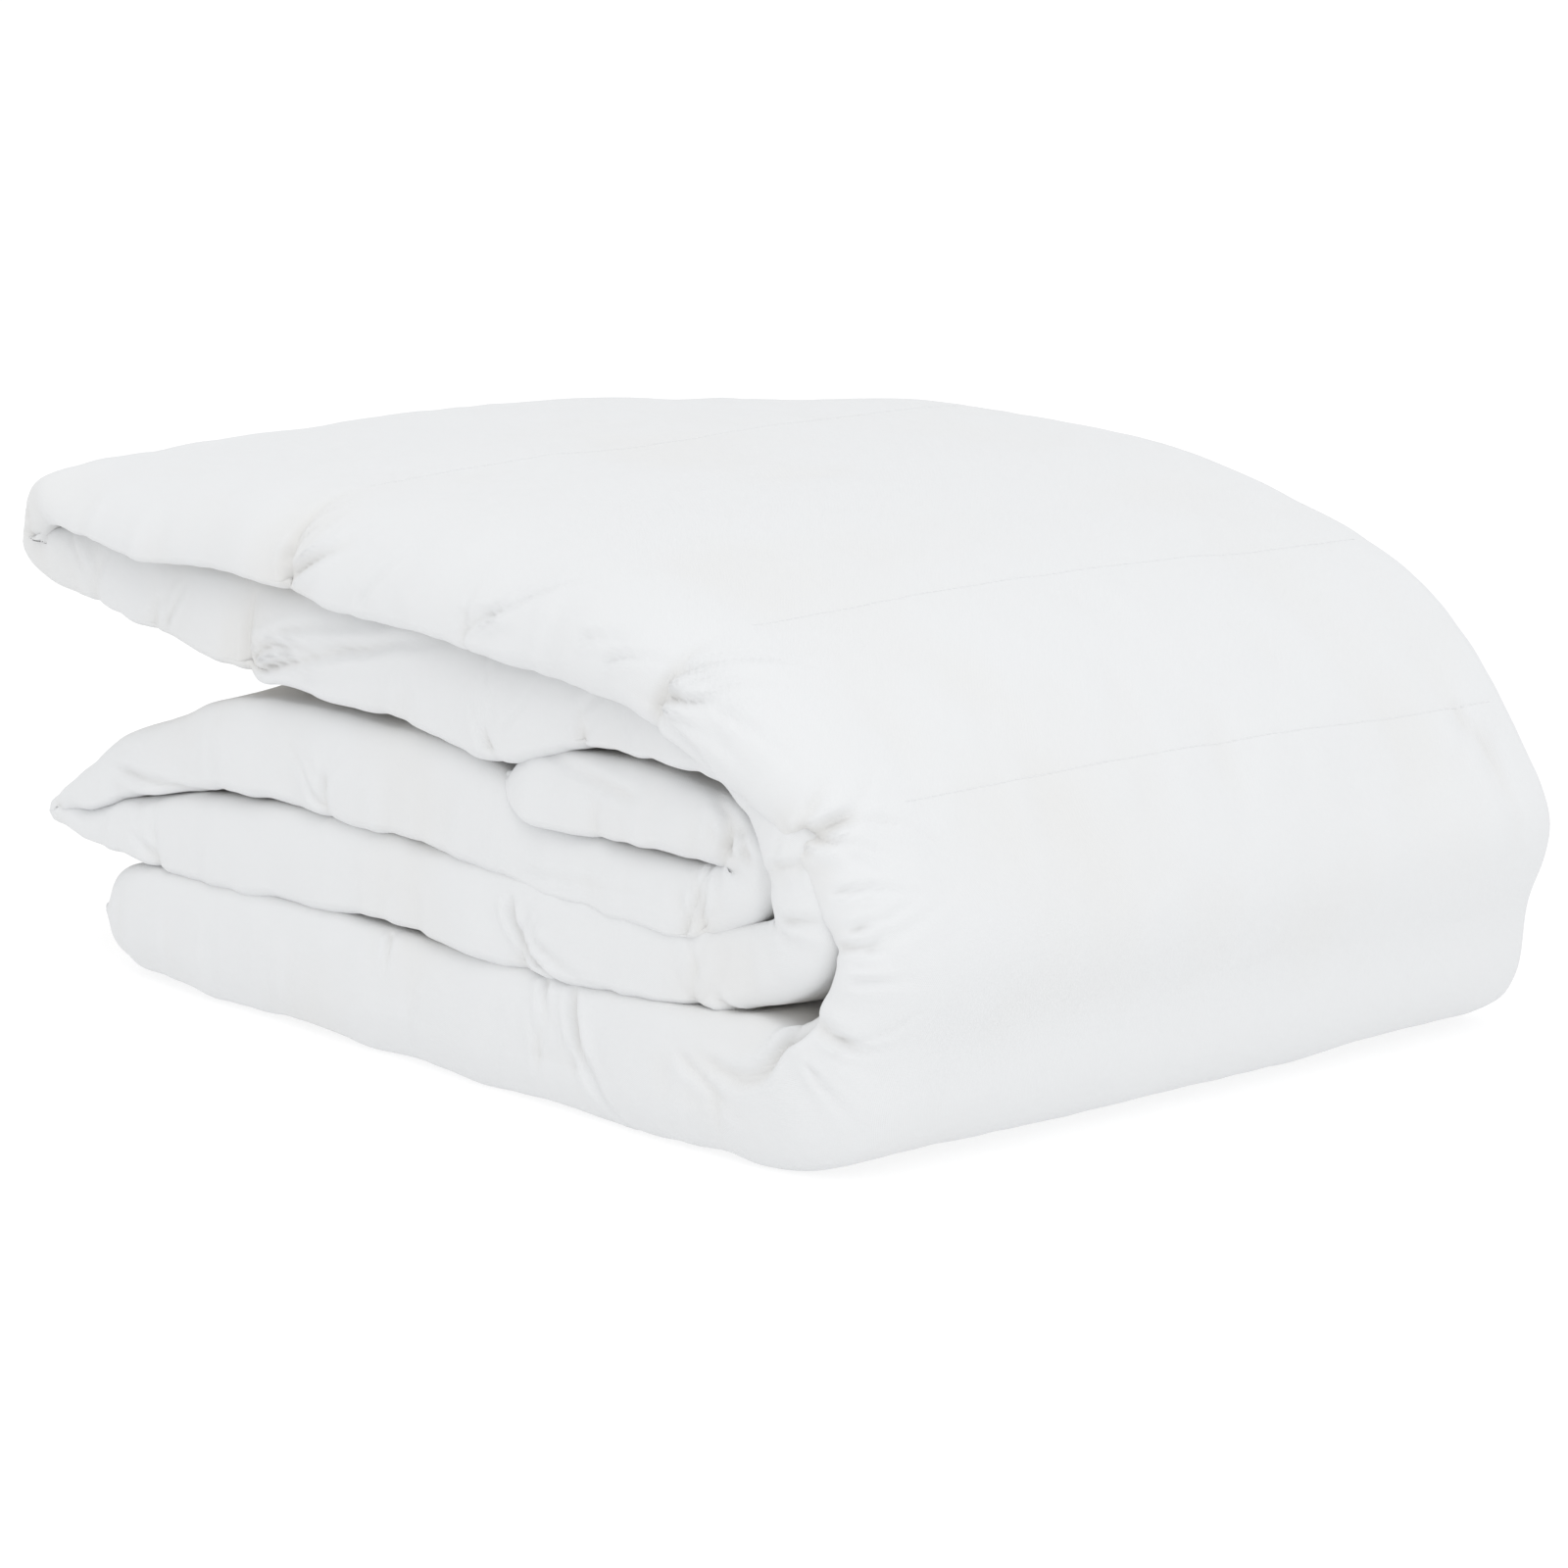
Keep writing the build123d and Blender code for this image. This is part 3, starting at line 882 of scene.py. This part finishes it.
def stitch_tree(material):
    """Geometry nodes that lay a stitch at every pitch along the mesh's edges."""
    tree = bpy.data.node_groups.new("stitches", "GeometryNodeTree")
    face = tree.interface
    face.new_socket("Geometry", in_out="INPUT", socket_type="NodeSocketGeometry")
    for name in ("Pitch", "Length", "Radius"):
        face.new_socket(name, in_out="INPUT", socket_type="NodeSocketFloat")
    face.new_socket("Geometry", in_out="OUTPUT", socket_type="NodeSocketGeometry")
    made = {}
    for label, kind in (
            ("in", "NodeGroupInput"), ("out", "NodeGroupOutput"),
            ("curve", "GeometryNodeMeshToCurve"), ("points", "GeometryNodeCurveToPoints"),
            ("thread", "GeometryNodeMeshCylinder"), ("place", "GeometryNodeInstanceOnPoints"),
            ("real", "GeometryNodeRealizeInstances"), ("paint", "GeometryNodeSetMaterial")):
        made[label] = tree.nodes.new(kind)
    made["points"].mode = "LENGTH"
    made["thread"].inputs["Vertices"].default_value = 6
    made["paint"].inputs["Material"].default_value = material
    for start, output, end, socket in (
            ("in", "Geometry", "curve", "Mesh"), ("curve", "Curve", "points", "Curve"),
            ("in", "Pitch", "points", "Length"), ("in", "Radius", "thread", "Radius"),
            ("in", "Length", "thread", "Depth"), ("points", "Points", "place", "Points"),
            ("thread", "Mesh", "place", "Instance"), ("points", "Rotation", "place", "Rotation"),
            ("place", "Instances", "real", "Geometry"), ("real", "Geometry", "paint", "Geometry"),
            ("paint", "Geometry", "out", "Geometry")):
        tree.links.new(made[start].outputs[output], made[end].inputs[socket])
    return tree


def thread_material(colour):
    """Twisted polyester thread, a little glossier than the cloth."""
    shader = Shader("sewing_thread")
    place = shader.node("ShaderNodeTexCoord", output=3)
    twist = shader.node("ShaderNodeTexNoise", {}, {"Vector": place, "Scale": 2200.0, "Detail": 1.0})
    normal = shader.node("ShaderNodeBump", {}, {
        "Strength": 0.4, "Distance": 0.00005, "Height": twist})
    surface = shader.node("ShaderNodeBsdfPrincipled", {}, {
        "Base Color": rgba(colour), "Roughness": 0.45 + twist * 0.2, "Normal": normal})
    return shader.finish(surface)


class DUVET_OT_stitches(bpy.types.Operator):
    """Sew the quilting seams and the hems with single stitches"""
    bl_idname = "duvet.stitches"
    bl_label = "Stitches"

    def execute(self, context):
        strip, sizes = build["strip"], context.scene.duvet_sizes
        colours = context.scene.duvet_colours
        tree = stitch_tree(thread_material(colours.thread))
        inputs = {item.name: item.identifier for item in tree.interface.items_tree
                  if item.in_out == "INPUT"}
        normals = strip.normals()
        surface = strip.points + THREAD_LIFT * normals
        across = slice(FRONT_POINTS, FRONT_POINTS + FLAT_POINTS)
        for stretch, (first, last) in build["spans"].items():
            lines = [surface[first + 1:last, strip.hem_start + column] for column in HEM_STITCHES]
            lines += [surface[ring, across] for ring in strip.seams if first < ring < last]
            vertices, edges = [], []
            for line in lines:
                start = len(vertices)
                vertices += [tuple(point * MM) for point in line]
                edges += [(start + step, start + step + 1) for step in range(len(line) - 1)]
            mesh = bpy.data.meshes.new("stitch_path")
            mesh.from_pydata(vertices, edges, [])
            path = bpy.data.objects.new("stitch_path", mesh)
            context.scene.collection.objects.link(path)
            modifier = path.modifiers.new("stitches", "NODES")
            modifier.node_group = tree
            modifier[inputs["Pitch"]] = sizes.stitch_pitch
            modifier[inputs["Length"]] = sizes.stitch_length
            modifier[inputs["Radius"]] = sizes.thread_radius
            context.view_layer.update()
            sewn = path.evaluated_get(context.evaluated_depsgraph_get())
            plain = bpy.data.meshes.new_from_object(sewn)
            path.modifiers.remove(modifier)
            bpy.data.objects.remove(path)
            piece = bpy.data.objects.new(f"stitches_{stretch}", plain)
            plain.name = piece.name
            context.scene.collection.objects.link(piece)
            attach(piece, stretch)
        return {"FINISHED"}


def tape_material(colour):
    """Woven satin tape: fine ribs along it and a soft shine."""
    shader = Shader("label_tape")
    place = shader.node("ShaderNodeTexCoord", output=3)
    axes = shader.node("ShaderNodeSeparateXYZ", inputs={0: place})
    rib = shader.node("ShaderNodeMath", {"operation": "SINE"}, {0: axes * 9000.0})
    slub = shader.node("ShaderNodeTexNoise", {}, {"Vector": place, "Scale": 700.0, "Detail": 2.0})
    normal = shader.node("ShaderNodeBump", {}, {
        "Strength": 0.5, "Distance": 0.00008, "Height": rib * 0.5 + slub})
    surface = shader.node("ShaderNodeBsdfPrincipled", {}, {
        "Base Color": rgba(colour), "Roughness": 0.38 + slub * 0.15, "Normal": normal,
        "Sheen Weight": 0.1})
    return shader.finish(surface)


class DUVET_OT_label(bpy.types.Operator):
    """Hang a blank care label, folded at its top edge and hemmed below"""
    bl_idname = "duvet.label"
    bl_label = "Care label"

    def execute(self, context):
        low, high = (np.array(corner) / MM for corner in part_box("care_label"))
        across, down = 24, 36
        u, v = np.meshgrid(np.linspace(0, 1, across), np.linspace(0, 1, down))
        x = low[0] + u * (high[0] - low[0])
        z = high[2] - v * (high[2] - low[2])
        curl = 1.6 * v ** 2 + 0.4 * np.sin(u * 5.2 + 0.4) * v ** 2 + 0.6 * (2 * u - 1) ** 2 * v ** 2
        hem = 0.12 * (v < 0.08) + 0.25 * (v > 0.95)
        middle = high[1] + LABEL_STAND + curl
        half = (high[1] - low[1]) / 2 + hem
        sheets = [np.stack([x, middle + side * half, z], axis=-1).reshape(-1, 3)
                  for side in (-1, 1)]
        faces = []
        for row in range(down - 1):
            for column in range(across - 1):
                corner = row * across + column
                quad = (corner, corner + 1, corner + across + 1, corner + across)
                faces.append(quad)
                faces.append(tuple(index + across * down for index in reversed(quad)))
        rim = [*range(across), *range(2 * across - 1, across * down, across),
               *range(across * down - 2, across * (down - 1) - 1, -1),
               *range(across * (down - 2), 0, -across)]
        for here, after in zip(rim, rim[1:] + rim[:1]):
            faces.append((after, here, here + across * down, after + across * down))
        colours = context.scene.duvet_colours
        piece = make_mesh("blank_care_label", np.vstack(sheets) * MM, faces,
                          tape_material(colours.label))
        face_outwards(piece)
        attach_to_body(piece, "care_label")
        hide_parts("care_label")
        return {"FINISHED"}


class DUVET_PT_panel(bpy.types.Panel):
    """Lists the duvet's pieces"""
    bl_idname = "DUVET_PT_panel"
    bl_label = "Folded Duvet"
    bl_space_type = "VIEW_3D"
    bl_region_type = "UI"
    bl_category = "Duvet"

    def draw(self, context):
        for operator in OPERATORS:
            self.layout.operator(operator.bl_idname)


OPERATORS = (DUVET_OT_camera, DUVET_OT_stage, DUVET_OT_cover, DUVET_OT_hems, DUVET_OT_stitches,
             DUVET_OT_label)
CLASSES = (DuvetSizes, DuvetColours, *OPERATORS, DUVET_PT_panel)
build = {}


def register():
    for cls in CLASSES:
        bpy.utils.register_class(cls)
    bpy.types.Scene.duvet_sizes = bpy.props.PointerProperty(type=DuvetSizes)
    bpy.types.Scene.duvet_colours = bpy.props.PointerProperty(type=DuvetColours)


def unregister():
    del bpy.types.Scene.duvet_colours
    del bpy.types.Scene.duvet_sizes
    for cls in reversed(CLASSES):
        bpy.utils.unregister_class(cls)


def main():
    register()
    for operator in OPERATORS:
        group, name = operator.bl_idname.split(".")
        getattr(getattr(bpy.ops, group), name)()


if __name__ == "__main__":
    main()
